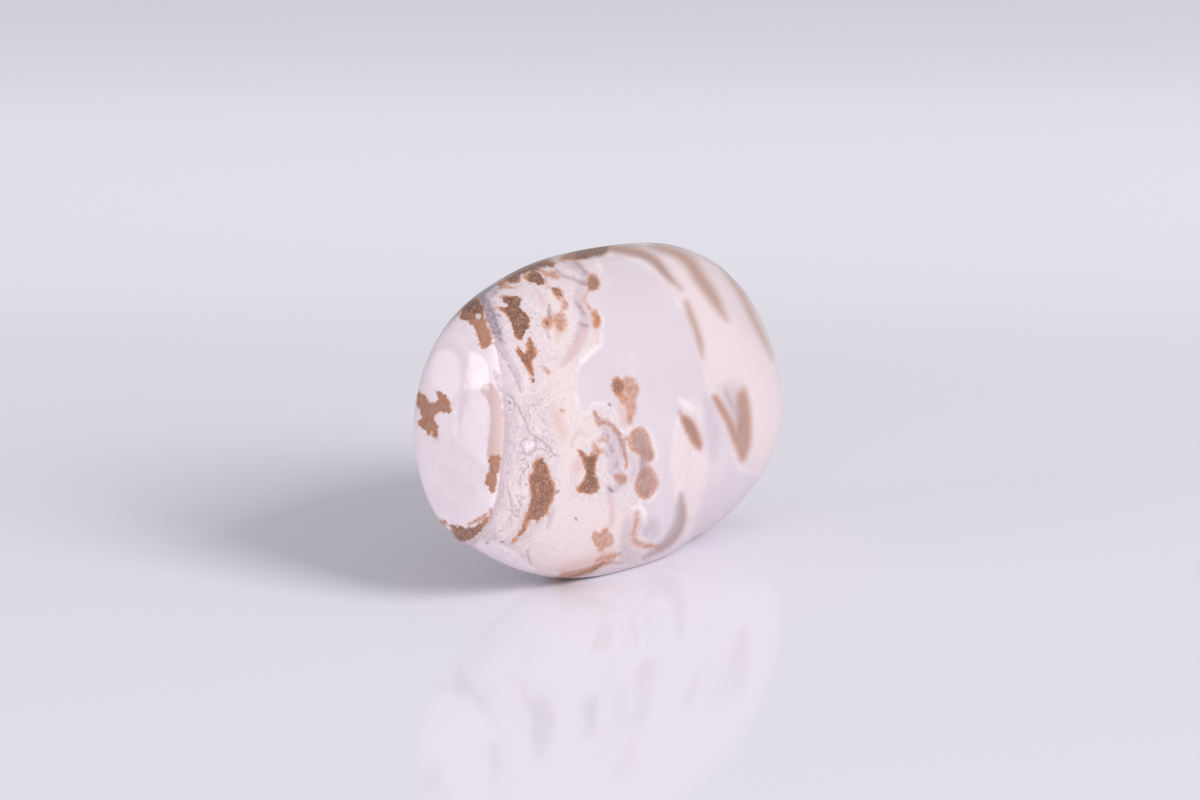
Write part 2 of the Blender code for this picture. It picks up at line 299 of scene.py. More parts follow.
# Dusky hearts and edges, between grey and brown
DUSK = {
    "pod link": ([(643, 455), (643, 463), (643, 472)], (3.6, 3.8, 3.6)),
    "scallop roof": ([(562, 255), (571, 259), (579, 265), (586, 273)], (1.6, 2.2, 2.6, 2.6)),
    "scallop floor": ([(556, 270), (564, 276), (573, 279), (582, 283), (590, 285)],
                      (1.4, 1.8, 1.8, 2.4, 2.6)),
    "scallop pleat": ([(577, 303), (580, 308), (583, 313)], (1.2, 2.2, 1.6)),
    "scallop tuck": ([(579, 323), (584, 325), (588, 326)], (1.0, 1.8, 1.0)),
    "low seam": ([(681, 494), (681, 506), (680, 518), (676, 530), (669, 540), (659, 549), (644, 558)],
                 (3.0, 5.6, 6.6, 6.6, 6.0, 4.6, 3.0)),
    "hook heart": ([(737, 400), (738, 412), (739, 424), (740, 432)], (2.0, 4.2, 4.2, 2.0)),
    "ridge brow": ([(616, 250), (632, 253), (644, 256), (655, 263), (664, 272), (672, 281)],
                   (1.4, 2.2, 3.0, 3.4, 3.2, 1.6)),
    "root heart": ([(597, 417), (603, 422), (611, 425), (617, 432), (621, 440), (624, 450), (626, 460)],
                   (1.2, 1.8, 1.6, 2.0, 2.0, 2.0, 1.4)),
    "root grain": ([(604, 434), (608, 437)], (1.4, 1.6)),
    "root grain two": ([(611, 446), (613, 451)], (1.8, 1.6)),
    "root grain three": ([(605, 452), (607, 456)], 1.2),
    "root grain four": ([(617, 462), (616, 467)], (1.3, 1.5)),
    "hook lap": ([(726, 392), (731, 403), (736, 414)], (2.0, 3.4, 2.0)),
    "bead heart": ([(618, 477), (622, 479)], (1.4, 2.0)),
    "root grain five": ([(608, 487), (612, 490)], (2.0, 2.2)),
    "crown spike": ([(549, 305), (549, 311), (550, 317)], (1.3, 2.2, 2.2)),
}

# Small dark grains
DOTS = {
    "flank fleck": ([(555, 493), (558, 491)], (1.8, 2.0)),
    "cheek dot": ([(509, 402), (510, 403)], 1.6),
    "selvage dot": ([(498, 315), (500, 316)], 1.6),
    "crown dot": ([(500, 286), (502, 286)], 1.6),
    "leaf dot": ([(526, 484), (527, 485)], 1.3),
    "foot dot": ([(486, 543), (488, 543)], 1.3),
    "low foot dot": ([(501, 542), (503, 542)], 1.3),
    "chalk dot": ([(609, 404), (610, 405)], 1.6),
    "chin dot": ([(609, 489), (612, 491)], (1.4, 1.6)),
    "belly dot": ([(575, 518), (577, 520)], 1.3),
}

# Single dark contour lines
LINES = {
    "rim edge": ([(493, 342), (500, 351), (506, 361), (512, 371), (517, 381), (521, 392)], 1.5),
    "contour run": ([(508, 393), (513, 399), (518, 407), (522, 415), (526, 424), (530, 433), (537, 438),
                     (545, 443), (550, 449), (554, 455), (561, 456)],
                    (1.2, 1.6, 1.8, 1.8, 1.8, 1.4, 1.8, 2.2, 2.4, 2.0, 1.6)),
    "contour loop": ([(527, 438), (521, 442), (522, 449), (527, 455), (533, 452), (537, 446), (534, 440)],
                     1.6),
    "contour brow": ([(530, 462), (532, 454), (538, 449), (545, 450), (550, 457)], 1.5),
    "contour cuff": ([(531, 461), (528, 468), (523, 472), (520, 479), (521, 490), (521, 504), (517, 518)],
                     (1.5, 1.6, 1.5, 1.5, 1.4, 1.4, 1.2)),
    "contour flame": ([(506, 485), (509, 492), (511, 501), (512, 511), (510, 519)],
                      (1.3, 1.8, 1.9, 1.8, 1.2)),
    "contour flame two": ([(518, 501), (517, 509), (514, 517)], (1.4, 1.8, 1.4)),
    "contour foot": ([(528, 547), (528, 554), (531, 564)], (1.4, 1.9, 1.9)),
    "contour ring": ([(507, 395), (513, 397), (514, 404), (510, 410), (506, 404), (506, 398)], 1.4),
}

# The rim of the polished facet, read from the photo. At its left it is the stone's own edge.
FACET_RIM = [(474, 306), (485, 316), (495, 343), (502, 385), (504, 420), (500, 470), (495, 502), (484, 526),
             (469, 539), (445, 526), (427, 500), (415, 456), (413, 425), (419, 384), (431, 350), (451, 321)]


# ---- Markings read as depths ----
TINY = 1e-9
CURVE_STEPS = 5  # straight steps from one corner of an outline to the next
REACH_OF_MARK = 34.0  # sight units round a mark in which its depth is worked out
FAR_OUT = REACH_OF_MARK / SIGHT_SCALE  # the depth, in millimetres, of a place that no mark is near


def seen_at(places):
    """Where places, in millimetres, lie in the sight frame."""
    away = places - CAMERA_PLACE
    ahead = away @ FORWARD
    return np.stack((SIGHT_WIDTH / 2 + SIGHT_FOCAL * (away @ RIGHT) / ahead,
                     SIGHT_HEIGHT / 2 - SIGHT_FOCAL * (away @ UP) / ahead), 1)


def curve_through(corners, closed):
    """Points along a smooth curve through the corners."""
    p = np.array(corners, float)
    if closed:
        a, b, c, d = (np.roll(p, shift, 0) for shift in (1, 0, -1, -2))
    else:
        p = np.vstack((2 * p[0] - p[1], p, 2 * p[-1] - p[-2]))
        a, b, c, d = p[:-3], p[1:-2], p[2:-1], p[3:]
    a, b, c, d = (x[:, None] for x in (a, b, c, d))
    t = np.linspace(0, 1, CURVE_STEPS, endpoint=False)[None, :, None]
    line = 0.5 * (2 * b + (c - a) * t + (2 * a - 5 * b + 4 * c - d) * t**2 + (3 * b - a - 3 * c + d) * t**3)
    line = line.reshape(-1, 2)
    return line if closed else np.vstack((line, p[-2]))


def beside_steps(points, starts, ends):
    """How far along each straight step each point lies, as a share of it, and its distance from the step."""
    step = ends - starts
    to = points[:, None] - starts
    share = np.clip((to * step).sum(2) / np.maximum((step**2).sum(1), TINY), 0, 1)
    return share, np.sqrt(((to - share[..., None] * step) ** 2).sum(2))


def depth_in_loop(points, corners):
    """How far each point lies inside a smooth closed outline, negative outside."""
    ring = curve_through(corners, True)
    after = np.roll(ring, -1, 0)
    gap = beside_steps(points, ring, after)[1].min(1)
    x, y = points[:, None, 0], points[:, None, 1]
    spans = (ring[:, 1] > y) != (after[:, 1] > y)
    rise = after[:, 1] - ring[:, 1]
    rise = np.where(np.abs(rise) < TINY, TINY, rise)
    crossing = ring[:, 0] + (y - ring[:, 1]) / rise * (after[:, 0] - ring[:, 0])
    inside = (spans & (x < crossing)).sum(1) % 2 == 1
    return np.where(inside, gap, -gap)


def depth_in_thread(points, corners, half_widths):
    """How far each point lies inside a thread whose half width changes along it, negative outside."""
    line = curve_through(corners, False)
    widths = np.interp(np.linspace(0, 1, len(line)), np.linspace(0, 1, len(corners)),
                       np.broadcast_to(half_widths, len(corners)))
    share, gap = beside_steps(points, line[:-1], line[1:])
    return (widths[:-1] + share * np.diff(widths) - gap).max(1)


def near_field(sight, marks):
    """Depth in millimetres inside the nearest of the marks, at each place of the sight frame."""
    depth = np.full(len(sight), -REACH_OF_MARK)
    for mark in marks.values():
        thread = isinstance(mark, tuple)
        corners = mark[0] if thread else mark
        low = np.min(corners, 0) - REACH_OF_MARK
        high = np.max(corners, 0) + REACH_OF_MARK
        near = np.flatnonzero(((sight > low) & (sight < high)).all(1))
        if len(near):
            here = depth_in_thread(sight[near], *mark) if thread else depth_in_loop(sight[near], corners)
            depth[near] = np.maximum(depth[near], here)
    return depth / SIGHT_SCALE


# ---- The polished skin ----
SKIN_CUTS = 126  # squares along each side of the six-sided net
RELAX_ROUNDS = 8


def net_of_sphere():
    """A closed net of squares over a ball: unit directions and the four corners of each square."""
    bm = bmesh.new()
    bmesh.ops.create_cube(bm, size=2.0)
    bmesh.ops.subdivide_edges(bm, edges=bm.edges[:], cuts=SKIN_CUTS - 1, use_grid_fill=True)
    bm.verts.ensure_lookup_table()
    cube = np.array([v.co for v in bm.verts])
    squares = np.array([[v.index for v in f.verts] for f in bm.faces])
    bm.free()
    ball = np.tan(cube * math.pi / 4)
    return ball / np.linalg.norm(ball, axis=1)[:, None], squares


def cast_on_stone(ball):
    """The net cast outwards from the stone's middle on to the solid, in millimetres."""
    mesh = stone_node.data
    solid = BVHTree.FromPolygons([v.co for v in mesh.vertices], [p.vertices for p in mesh.polygons])
    low, high = (np.array(corner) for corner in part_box("stone"))
    middle, half = (low + high) / 2, (high - low) / 2
    start = Vector(middle)
    reach = float(np.linalg.norm(high - low))
    places = np.empty_like(ball)
    for i, aim in enumerate(ball * half):
        direction = Vector(aim).normalized()
        places[i] = solid.ray_cast(start + direction * reach, -direction)[0]
    return places / MM


def joins(squares):
    """Each edge of the net once, as two corner numbers."""
    ends = np.vstack([squares[:, (k, (k + 1) % 4)] for k in range(4)])
    ends.sort(1)
    return np.unique(ends, axis=0)


def relaxed(places, edges, rounds):
    """The net drawn smooth: each point moves half way to the middle of its neighbours, round after round."""
    count = len(places)
    one, other = edges.T
    degree = np.bincount(one, minlength=count) + np.bincount(other, minlength=count)
    for _ in range(rounds):
        total = [np.bincount(one, places[other, k], count) + np.bincount(other, places[one, k], count)
                 for k in range(3)]
        places = 0.5 * places + 0.5 * np.stack(total, 1) / degree[:, None]
    return places


def outward(places, squares):
    """Unit normals of the net's points."""
    a, b, c, d = (places[squares[:, k]] for k in range(4))
    face = np.cross(c - a, d - b)
    total = np.stack([sum(np.bincount(squares[:, k], face[:, axis], len(places)) for k in range(4))
                      for axis in range(3)], 1)
    return total / np.linalg.norm(total, axis=1)[:, None]


def smooth_step(low, high, x):
    """0 under low, 1 over high, with a smooth turn between."""
    t = np.clip((x - low) / (high - low), 0, 1)
    return t * t * (3 - 2 * t)


# ---- The far side, which no one place shows: patches, seams and ground laid by rule, in millimetres ----
FAR_SEED = 11
FAR_PATCHES = 17
PATCH_SPACING = 3.6  # least distance between the starts of two patches
FULLY_HIDDEN = 0.97  # how hidden the place where a patch starts is
PATCH_LOBES = (2, 7)
LOBE_RADIUS = (0.32, 0.95)
LOBE_REACH = 1.2  # how far outside a lobe its depth is worked out
LOBE_STRIDE = 1.2  # radii from one lobe to the next
HEADING_SPREAD = (0.35, 0.35, 1.0)
HEADING_TURN = 0.5

# Broken seams: their place along +X, seed and half width
FAR_SEAMS = [(-11.6, 1, 0.30), (-3.2, 2, 0.34), (1.4, 3, 0.42), (7.9, 4, 0.55), (12.6, 5, 0.45)]
SEAM_SWAY, SEAM_WAVE = 0.9, 9.0
BREAK_WAVE, BREAK_SHIFT, BREAK_SEED = 7.0, 0.15, 50

# Layers along the pebble on its far side: from, to, along +X
FAR_GROUND = {
    "lilac": [(-1.2, 6.5), (9.5, 12.8)],
    "cream": [(-9.0, -4.5)],
    "ribbon": [(6.5, 9.3), (13.5, 20.0)],
    "grey": [(-15.6, -14.8), (2.9, 3.7), (11.8, 12.4)],
}
GROUND_BOW, GROUND_SWAY, GROUND_WAVE = 0.8, 1.1, 8.0
FACET_END = -15.0  # where the facet's rim lies along +X

# The layers bow towards the round end: how far, at what height, over what spread, from where
BOW, BOW_HEIGHT, BOW_SPREAD, BOW_START = 3.6, 15.5, 5.5, 0.5

WAVE_PARTS = 6
WAVE_RANGE = (0.7, 1.4)
WAVE_PEAK = 1.6


def waver(places, seed, wave):
    """A smooth wandering value from about -1 to 1, in waves of about that length."""
    draw = np.random.default_rng(seed)
    total = np.zeros(len(places))
    for _ in range(WAVE_PARTS):
        direction = draw.normal(size=3)
        direction /= np.linalg.norm(direction)
        turn = places @ direction * (2 * math.pi / wave) * draw.uniform(*WAVE_RANGE)
        total += np.sin(turn + draw.uniform(0, 2 * math.pi))
    return total / math.sqrt(WAVE_PARTS / 2) / WAVE_PEAK


def layer_bow(places):
    """How far the layers bow towards the round end at each height."""
    return BOW * np.exp(-((places[:, 2] - BOW_HEIGHT) / BOW_SPREAD) ** 2) - BOW_START


def far_brown(places, hidden):
    """Lobed brown patches over the hidden side, and broken seams along the layers."""
    draw = np.random.default_rng(FAR_SEED)
    tree = KDTree(len(places))
    for i, p in enumerate(places):
        tree.insert(p, i)
    tree.balance()
    depth = np.full(len(places), -FAR_OUT)
    pool = np.flatnonzero(hidden > FULLY_HIDDEN)
    starts = []
    while len(starts) < FAR_PATCHES:
        pick = places[draw.choice(pool)]
        if all(np.linalg.norm(pick - s) > PATCH_SPACING for s in starts):
            starts.append(pick)
    for start in starts:
        at = start.copy()
        heading = draw.normal(size=3) * HEADING_SPREAD
        for _ in range(draw.integers(*PATCH_LOBES)):
            radius = draw.uniform(*LOBE_RADIUS)
            near = np.array([n[1] for n in tree.find_range(at, radius + LOBE_REACH)])
            gap = np.linalg.norm(places[near] - at, axis=1)
            depth[near] = np.maximum(depth[near], radius - gap)
            heading += draw.normal(size=3) * HEADING_TURN
            stride = heading / np.linalg.norm(heading) * radius * LOBE_STRIDE
            at = np.array(tree.find(at + stride)[0])
    for middle, seed, half_width in FAR_SEAMS:
        line = places[:, 0] - middle - layer_bow(places) - SEAM_SWAY * waver(places, seed, SEAM_WAVE)
        width = half_width * (waver(places, seed + BREAK_SEED, BREAK_WAVE) + BREAK_SHIFT)
        depth = np.maximum(depth, width - np.abs(line))
    return depth


def far_ground(places, spans, seed):
    """Depth inside the nearest of the layers that cross the far side."""
    along = places[:, 0] - GROUND_BOW * layer_bow(places) + GROUND_SWAY * waver(places, seed, GROUND_WAVE)
    depth = np.full(len(places), -FAR_OUT)
    for start, stop in spans:
        depth = np.maximum(depth, np.minimum(along - start, stop - along))
    return depth


# How far a place turns away while the near side's markings give way to the far side's
NEAR_SIDE = (-0.30, -0.10)

# The skin's markings by name; a layer's own place in this list seeds its far side
NEAR_MARKS = {"brown": BROWN, "deep": DEEP, "rust": RUST, "seam": SEAMS, "pod": POD, "tan": TAN,
              "mauve": MAUVE, "grey": GREY, "lilac": LILAC_LAYER, "cream": CREAM, "ribbon": RIBBONS,
              "pale": PALE, "purple": PURPLE, "dusk": DUSK, "dot": DOTS, "line": LINES}


def make_pebble():
    """The pebble's skin as a mesh that carries its markings as depths in millimetres."""
    ball, squares = net_of_sphere()
    places = relaxed(cast_on_stone(ball), joins(squares), RELAX_ROUNDS)
    places[:, 2] = np.maximum(places[:, 2], 0.0)
    towards = CAMERA_PLACE - places
    towards /= np.linalg.norm(towards, axis=1)[:, None]
    near = smooth_step(*NEAR_SIDE, (outward(places, squares) * towards).sum(1))
    sight = seen_at(places)

    nowhere = np.full(len(places), -FAR_OUT)
    fields = {}
    for seed, (name, marks) in enumerate(NEAR_MARKS.items()):
        back = far_ground(places, FAR_GROUND[name], seed) if name in FAR_GROUND else nowhere
        fields[name] = (near_field(sight, marks), back)
    fields["brown"] = (fields["brown"][0], far_brown(places, 1 - near))
    fields["rim"] = (-depth_in_loop(sight, FACET_RIM) / SIGHT_SCALE, places[:, 0] - FACET_END)

    mesh = bpy.data.meshes.new("pebble_skin")
    mesh.from_pydata((places * MM).tolist(), [], squares.tolist())
    for name, (front, back) in fields.items():
        attribute = mesh.attributes.new(name, "FLOAT", "POINT")
        attribute.data.foreach_set("value", (front * near + back * (1 - near)).astype(np.float32))
    mesh.validate()
    mesh.shade_smooth()
    skin = bpy.data.objects.new("pebble_skin", mesh)
    bpy.context.scene.collection.objects.link(skin)
    return skin


# ---- Shader arithmetic ----
# Sockets that are found by their place in Blender's list
OBJECT_PLACES, ATTRIBUTE_VALUE = 3, 2
MIX_SHARE, MIX_FIRST, MIX_SECOND, MIX_RESULT = 0, 6, 7, 2


class Wire:
    """A socket that can be used in sums; each sum adds its Math node."""

    def __init__(self, tree, socket):
        self.tree, self.socket = tree, socket

    def math(self, operation, *others):
        return self.tree.add("ShaderNodeMath", dict(operation=operation), [self, *others])

    def __add__(self, other):
        return self.math("ADD", other)

    def __sub__(self, other):
        return self.math("SUBTRACT", other)

    def __mul__(self, other):
        return self.math("MULTIPLY", other)

    def __rsub__(self, other):
        return self.tree.add("ShaderNodeMath", dict(operation="SUBTRACT"), [other, self])

    __radd__, __rmul__ = __add__, __mul__

    def above(self, edge, blur):
        """0 where it is under the edge, 1 over it, turning over that blur."""
        return self.tree.add("ShaderNodeMapRange", dict(interpolation_type="SMOOTHSTEP"),
                             [self, edge - blur * 0.5, edge + blur * 0.5])


class Tree:
    """The nodes of one material."""

    def __init__(self, name):
        self.material = bpy.data.materials.new(name)
        self.material.use_nodes = True
        self.nodes, self.links = self.material.node_tree.nodes, self.material.node_tree.links
        self.nodes.clear()

    def add(self, kind, settings=None, sockets=(), out=0):
        """A node of that kind: its settings first, then its sockets by place or by name."""
        node = self.nodes.new(kind)
        for name, value in (settings or {}).items():
            setattr(node, name, value)
        pairs = sockets.items() if isinstance(sockets, dict) else enumerate(sockets)
        for key, value in pairs:
            if isinstance(value, Wire):
                self.links.new(value.socket, node.inputs[key])
            else:
                node.inputs[key].default_value = value
        return Wire(self, node.outputs[out]) if len(node.outputs) else None

    def depth(self, name):
        """One of the skin's own markings, in millimetres inside it."""
        return self.add("ShaderNodeAttribute", dict(attribute_name=name), out=ATTRIBUTE_VALUE)

    def noise(self, places, per_mm, detail, roughness):
        """Cloudy grain from 0 to 1, about 0.5, with that many cells to a millimetre."""
        return self.add("ShaderNodeTexNoise", dict(noise_dimensions="3D"),
                        {"Vector": places, "Scale": per_mm, "Detail": detail, "Roughness": roughness})

    def cells(self, places, per_mm):
        """Distance from the nearest of scattered specks, with that many cells to a millimetre."""
        return self.add("ShaderNodeTexVoronoi", dict(voronoi_dimensions="3D", feature="F1"),
                        {"Vector": places, "Scale": per_mm})

    def split(self, vector):
        """The three parts of a vector."""
        node = self.add("ShaderNodeSeparateXYZ", None, [vector]).socket.node
        return [Wire(self, socket) for socket in node.outputs]

    def mix(self, share, first, second):
        """The first colour, turning to the second as share goes from 0 to 1."""
        return self.add("ShaderNodeMix", dict(data_type="RGBA"),
                        {MIX_SHARE: share, MIX_FIRST: first, MIX_SECOND: second}, out=MIX_RESULT)


class Coat:
    """A colour that is laid over itself in thin layers."""

    def __init__(self, tree, colour):
        self.tree, self.colour = tree, colour

    def lay(self, colour, where, strength=1.0):
        """Lays another colour over this one, where the mask shows it and that strongly."""
        self.colour = self.tree.mix(where * strength, self.colour, colour)


def paint(red, green, blue):
    """A colour given as 0 to 255 for the eye, as the shader's own light values."""
    def light(x):
        x /= 255
        return x / 12.92 if x <= 0.04045 else ((x + 0.055) / 1.055) ** 2.4
    return (light(red), light(green), light(blue), 1.0)


# ---- The stone's own colours ----
CHALK_TONE = paint(209, 194, 197)
CHALK_SHADE = paint(182, 163, 169)
CHALK_LIGHT = paint(227, 215, 220)
CREAM_TONE = paint(216, 199, 197)
LILAC = paint(205, 194, 201)
LILAC_SHADE = paint(202, 186, 193)
FACET_TONE = paint(232, 218, 225)
FACET_SHADE = paint(226, 208, 216)
FACET_LIGHT = paint(240, 225, 231)
RIBBON_TONE = paint(217, 200, 203)
WHITE_TONE = paint(232, 221, 226)
GREY_TONE = paint(176, 158, 170)
MAUVE_TONE = paint(196, 166, 168)
PURPLE_TONE = paint(130, 117, 130)
DUSK_TONE = paint(152, 128, 130)
SPECK_TONE = paint(116, 98, 112)
LINE_TONE = paint(150, 128, 138)
TAN_TONE = paint(204, 172, 167)
FRINGE_TONE = paint(190, 138, 114)
RUST_TONE = paint(176, 126, 104)
LIP_TONE = paint(190, 131, 98)
BROWN_TONE = paint(130, 86, 65)
# Painted light: a lighter brown for the facet's patches, standing in for the light the facet does not get
FACET_BROWN_PAINTED_LIGHT = paint(178, 130, 111)
VEILED_BROWN = paint(180, 147, 136)
DEEP_TONE = paint(100, 66, 48)
DARK_BROWN = paint(110, 76, 64)
CRUMB_TONE = paint(208, 172, 156)
SEAM_TONE = paint(170, 134, 119)
POD_TONE = paint(163, 136, 136)

# The stone's noises: cells to a millimetre, detail and roughness
GRAINS = {
    "cloud": (0.25, 2.0, 0.55),
    "flow": (0.5, 1.0, 0.55),
    "swirl": (1.5, 1.0, 0.55),
    "drift": (0.9, 3.0, 0.55),
    "ragged": (2.6, 3.0, 0.6),
    "blotch": (4.4, 3.0, 0.7),
    "sparkle": (8.0, 2.0, 0.6),
}
GRAIN_MIDDLE = 0.5  # what a noise is about, between 0 and 1
CRUMBS_PER_MM = 1.5

# Markings sink below the skin, and blur, towards the round end, in millimetres along +X
SINK_START, SINK_RATE, SOFTEST = -8.0, 0.03, 0.5
CRISP_LOSS = 1.9

# The fine contours: how closely they turn, and how far from the facet and how high up they run
BAND_RATE, LINE_RATE = 5.2, 2.9
CONTOUR_REACH, CONTOUR_TOP = 3.6, 15.0
BROWN_STAND_OFF, JOINT_BLEND = 0.25, 0.9

POLISH, DULLER_PATCH = 0.06, 0.1
STONE_IOR = 1.55
RELIEF_DEPTH, RELIEF_STRENGTH = 0.02 * MM, 0.1
PATCH_RELIEF, GRAIN_RELIEF = -0.35, 0.2


class Stone:
    """What the stone's layers share: its noises, its main markings and how far they have sunk."""

    def __init__(self, tree):
        t = self.tree = tree
        spot = t.add("ShaderNodeTexCoord", out=OBJECT_PLACES)
        places = t.add("ShaderNodeVectorMath", dict(operation="SCALE"), {0: spot, "Scale": 1 / MM})
        along, _, self.height = t.split(places)
        for name, grain in GRAINS.items():
            setattr(self, name, t.noise(places, *grain))
        self.crumb = t.cells(places, CRUMBS_PER_MM)

        self.soft = ((along - SINK_START) * SINK_RATE).math("MAXIMUM", 0.0).math("MINIMUM", SOFTEST)
        self.crisp = 1 - self.soft * CRISP_LOSS
        self.fray = self.stirred(ragged=0.65, blotch=0.25) * self.crisp
        self.wander = self.stirred(drift=1.2, ragged=0.5)

        self.rim = t.depth("rim")
        self.face = 1 - self.rim.above(-0.02, blur=0.14)
        self.brown = t.depth("brown") + self.fray + 0.03
        self.lip = self.brown.above(0.0, blur=0.2 + self.soft * 1.3)
        uneven = self.brown + self.stirred(drift=-0.5, ragged=-0.7)
        self.heart = uneven.above(0.12, blur=0.3 + self.soft)
        self.lilac = t.depth("lilac") + self.fray * 0.5
        self.in_lilac = self.lilac.above(0.0, blur=0.16 + self.soft)
        self.chalky = (1 - self.in_lilac) * self.rim.above(0.0, blur=0.1)
        self.dusk = self.edge("dusk", 0.5).above(self.soft * 0.3, blur=0.24 + self.soft * 1.2)

    def stirred(self, **shares):
        """The named noises added up about 0, each as strong as its share."""
        return sum((getattr(self, name) - GRAIN_MIDDLE) * share for name, share in shares.items())

    def edge(self, name, frayed):
        """One of the markings, with its edge frayed that much."""
        return self.tree.depth(name) + self.fray * frayed


def layered_ground(s):
    """Grainy chalk, cream drifts, lilac with white lace along its edge, pink ribbons, and the facet."""
    t = s.tree
    ground = Coat(t, CHALK_TONE)
    ground.lay(CHALK_SHADE, s.blotch.above(0.52, blur=0.22) * s.crisp, strength=0.35)
    ground.lay(CHALK_LIGHT, s.ragged.above(0.54, blur=0.2), strength=0.06 + s.crisp * 0.3)
    # Cream drifts; over the down-facing foot the cream is partly painted light
    ground.lay(CREAM_TONE, (t.depth("cream") + s.wander).above(0.1, blur=0.8), strength=0.75)
    lace = (s.lilac + 0.3).above(0.0, blur=0.5) * s.drift.above(0.5, blur=0.3)
    ground.lay(WHITE_TONE, lace, strength=0.4)
    ground.lay(t.mix(s.cloud.above(0.5, blur=0.3) * 0.6, LILAC, LILAC_SHADE), s.in_lilac)
    ribbon = (t.depth("ribbon") + s.wander * 0.5).above(0.0, blur=0.5 + s.soft)
    ground.lay(RIBBON_TONE, ribbon, strength=0.7)
    clear = t.mix(s.drift.above(0.5, blur=0.3) * 0.6, FACET_TONE, FACET_SHADE)
    ground.lay(t.mix(ribbon, clear, FACET_LIGHT), s.face)
    return ground


def lay_contours(s, ground):
    """Fine contours that run round the facet and round each brown growth."""
    nearest = s.rim.math("SMOOTH_MIN", BROWN_STAND_OFF - s.tree.depth("brown"), JOINT_BLEND)
    phase = nearest + s.stirred(flow=2.6, swirl=0.9)
    zone = s.chalky * s.rim.above(0.1, blur=0.3) * (1 - s.rim.above(CONTOUR_REACH, blur=2.4))
    zone = zone * (1 - s.height.above(CONTOUR_TOP, blur=3.0) * 0.8)
    bands = (phase * BAND_RATE).math("SINE").above(0.0, blur=1.6)
    ground.lay(GREY_TONE, bands * zone, strength=0.26)
    lines = 1 - (phase * LINE_RATE).math("PINGPONG", 0.5).above(0.1, blur=0.14)
    ground.lay(LINE_TONE, lines * zone * s.drift.above(0.46, blur=0.16), strength=0.45)
    selvage = s.rim.above(0.02, blur=0.1) * (1 - s.rim.above(0.9, blur=1.6))
    ground.lay(GREY_TONE, selvage * s.height.above(6.0, blur=6.0), strength=0.3)


def lay_veins(s, ground):
    """Lavender shades, mauve and white veins with a white wash of painted light on the foot, single dark
    lines, specks and purple shadows.
    """
    t = s.tree
    grey = (t.depth("grey") + s.wander * 0.35).above(0.0, blur=0.3 + s.soft * 1.6)
    ground.lay(GREY_TONE, grey, strength=0.34 + s.ragged.above(0.5, blur=0.3) * s.crisp * 0.42)
    mauve = s.edge("mauve", 0.6).above(0.0, blur=0.4 + s.soft + s.face * 0.1)
    ground.lay(MAUVE_TONE, mauve, strength=0.7 - s.face * 0.52)
    # White veins and inclusions; the white wash on the foot among them is painted light
    ground.lay(WHITE_TONE, s.edge("pale", 0.6).above(0.0, blur=0.3 + s.soft), strength=0.6)
    dark_line = (t.depth("line") + s.stirred(blotch=0.3)).above(0.04, blur=0.09)
    ground.lay(LINE_TONE, dark_line, strength=0.5)
    specks = (1 - s.crumb.above(0.1, blur=0.05)) * s.chalky
    ground.lay(SPECK_TONE, specks * s.crisp, strength=0.45)
    ground.lay(MAUVE_TONE, s.sparkle.above(0.64, blur=0.06) * s.chalky * s.crisp, strength=0.4)
    ground.lay(SPECK_TONE, s.edge("dot", 0.2).above(0.0, blur=0.1), strength=0.6)
    purple = s.edge("purple", 0.6)
    mottle = 0.58 + s.blotch.above(0.5, blur=0.2) * 0.36
    ground.lay(PURPLE_TONE, purple.above(0.0, blur=0.3), strength=mottle)
    purple_specks = (purple + 0.3).above(0.0, blur=0.4) * s.sparkle.above(0.56, blur=0.08)
    ground.lay(PURPLE_TONE, purple_specks, strength=0.4)


def lay_pods(s, ground):
    """Tan stains, then rusty pods with a mauve heart."""
    tan = s.edge("tan", 0.2).above(0.0, blur=0.8 - s.face * 0.6)
    ground.lay(TAN_TONE, tan, strength=0.7 + s.face * 0.14)
    pod = s.edge("pod", 0.6)
    ground.lay(FRINGE_TONE, pod.above(0.0, blur=0.14 + s.soft), strength=0.6)
    mottle = 0.3 + s.blotch.above(0.5, blur=0.2) * 0.6
    ground.lay(RUST_TONE, pod.above(0.1, blur=0.2 + s.soft), strength=mottle)
    core = pod + s.stirred(ragged=0.9) - 0.36
    ground.lay(POD_TONE, core.above(0.0, blur=0.24), strength=0.85)
    ground.lay(RUST_TONE, core.above(0.1, blur=0.3) * s.ragged.above(0.5, blur=0.16), strength=0.4)
    ground.lay(BROWN_TONE, pod.above(0.1, blur=0.3) * s.drift.above(0.54, blur=0.1), strength=0.28)


def lay_threads(s, ground):
    """Soft seams, rusty threads and dusky hearts."""
    ground.lay(SEAM_TONE, s.edge("seam", 0.6).above(s.soft * 0.3, blur=0.2 + s.soft * 1.4), strength=0.9)
    rust = s.edge("rust", 0.7)
    ground.lay(FRINGE_TONE, rust.above(0.0, blur=0.26 + s.soft), strength=0.66)
    grainy = rust.above(0.08, blur=0.26 + s.soft) * s.ragged.above(0.48, blur=0.3)
    ground.lay(RUST_TONE, grainy, strength=0.85)
    ground.lay(DUSK_TONE, s.dusk, strength=0.72)


